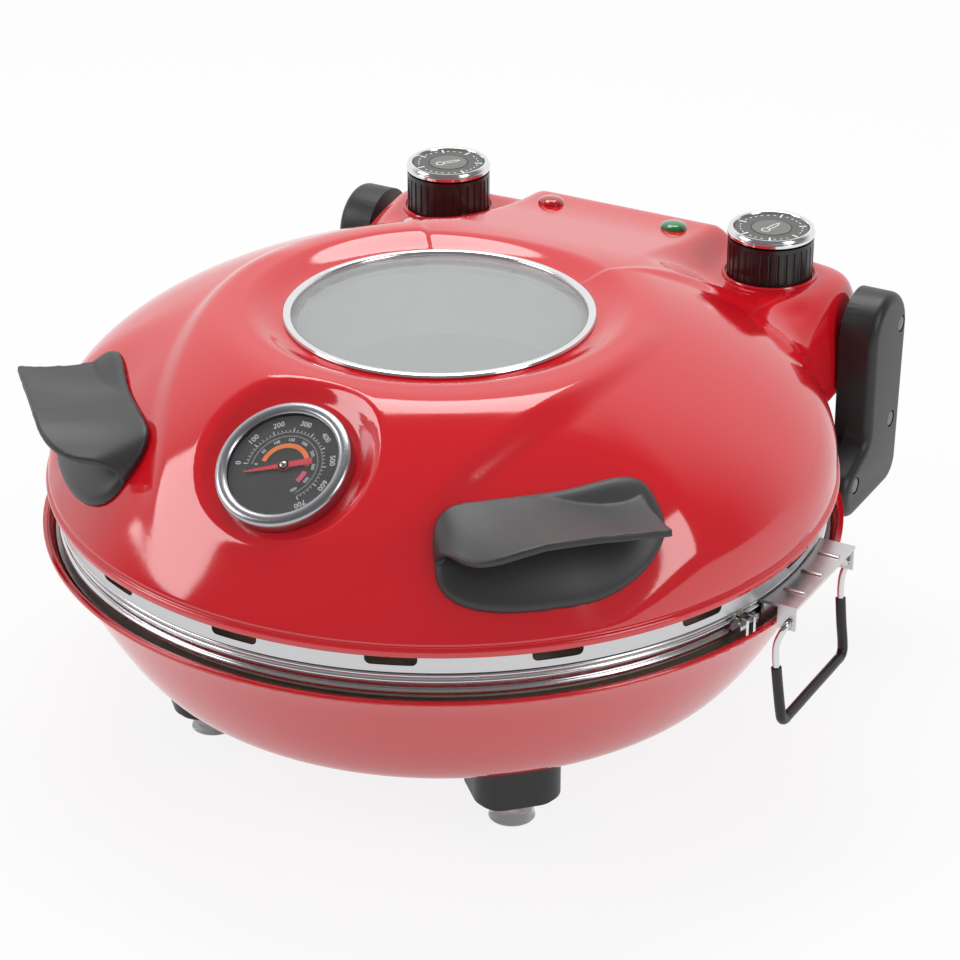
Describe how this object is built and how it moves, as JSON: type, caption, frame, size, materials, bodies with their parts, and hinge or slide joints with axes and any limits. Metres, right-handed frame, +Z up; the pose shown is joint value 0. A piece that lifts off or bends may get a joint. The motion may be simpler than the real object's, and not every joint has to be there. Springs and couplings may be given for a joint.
{
  "type": "electric pizza maker",
  "caption": "Round tabletop electric oven with a domed hinged lid, window, thermometer and dials over a heated stone in a shallow bowl.",
  "frame": {"origin": "on the resting plane of the suction cups, on the upright axis of the round bowl", "axes": "+X to the object's right as its front is seen with +Y going back, so -Y is the front with the thermometer, +Y is the hinge side and +Z is up"},
  "size_m": [0.3744, 0.3739, 0.1985],
  "materials": {
    "red_enamel": "gloss enamel",
    "black_plastic": "satin moulded",
    "clear_cup": "clear soft",
    "stone": "fired clay, matte",
    "steel": "satin sheet",
    "bright_steel": "polished",
    "heater": "heat-darkened",
    "ceramic": "pale, matte",
    "glass": "clear toughened",
    "seal": "soft",
    "dark_face": "satin dark",
    "needle_red": "painted",
    "lens_red": "tinted, glossy",
    "lens_green": "tinted, glossy"
  },
  "bodies": {
    "base": {"lower_bowl": "red_enamel", "heat_shield": "steel", "lower_element": "heater", "lower_element_clips": "steel", "terminal_block": "ceramic", "feet": "black_plastic", "suction_cups": "clear_cup", "foot_screws": "steel", "inlet_gland": "black_plastic", "pizza_stone": "stone", "stone_hoop": "bright_steel", "hoop_bolt": "bright_steel", "hoop_nut": "bright_steel", "loop_bracket_right": "steel", "loop_bracket_left": "steel", "arm_mount_right": "black_plastic", "arm_mount_left": "black_plastic", "arm_inner_right": "black_plastic", "arm_inner_left": "black_plastic", "arm_outer_right": "black_plastic", "arm_outer_left": "black_plastic", "hinge_plate_right": "steel", "hinge_plate_left": "steel", "arm_screws": "steel"},
    "lid": {"lid_cover": "red_enamel", "lid_liner": "bright_steel", "upper_reflector": "steel", "upper_element": "heater", "upper_element_clips": "steel", "rear_underside": "black_plastic", "hinge_lugs": "steel", "hinge_pins": "bright_steel", "window_ring": "bright_steel", "window_glass": "glass", "window_seal": "seal", "handle_right": "black_plastic", "handle_left": "black_plastic", "gauge_case": "steel", "gauge_bezel": "bright_steel", "gauge_dial": "dark_face", "gauge_glass": "glass", "gauge_probe": "bright_steel", "gauge_nut": "steel", "timer_unit": "ceramic", "thermostat_unit": "ceramic", "red_lens": "lens_red", "green_lens": "lens_green", "lamp_holders": "ceramic"},
    "needle": {"gauge_needle": "needle_red"},
    "timer": {"timer_knob": "black_plastic", "timer_knob_ring": "bright_steel", "timer_knob_face": "dark_face"},
    "thermostat": {"thermostat_knob": "black_plastic", "thermostat_knob_ring": "bright_steel", "thermostat_knob_face": "dark_face"},
    "loop_right": {"carry_loop_right": "bright_steel", "loop_sleeve_right": "black_plastic"},
    "loop_left": {"carry_loop_left": "bright_steel", "loop_sleeve_left": "black_plastic"}
  },
  "joints": [
    {"name": "lid_hinge", "type": "hinge", "parent": "base", "child": "lid", "pos_m": [0, 0.1685, 0.147], "axis": [-1, 0, 0], "range_deg": [0, 95]},
    {"name": "timer_turn", "type": "hinge", "parent": "lid", "child": "timer", "pos_m": [0.0866, 0.1585, 0.1702], "axis": [0, 0, -1], "range_deg": [0, 300]},
    {"name": "thermostat_turn", "type": "hinge", "parent": "lid", "child": "thermostat", "pos_m": [-0.0866, 0.1585, 0.1702], "axis": [0, 0, -1], "range_deg": [0, 270]},
    {"name": "needle_turn", "type": "hinge", "parent": "lid", "child": "needle", "pos_m": [0, -0.1335, 0.1777], "axis": [0, 0.565, -0.8251], "range_deg": [0, 225]},
    {"name": "loop_right_swing", "type": "hinge", "parent": "base", "child": "loop_right", "pos_m": [0.184, 0, 0.1025], "axis": [0, -1, 0], "range_deg": [0, 100]},
    {"name": "loop_left_swing", "type": "hinge", "parent": "base", "child": "loop_left", "pos_m": [-0.184, 0, 0.1025], "axis": [0, 1, 0], "range_deg": [0, 100]}
  ]
}
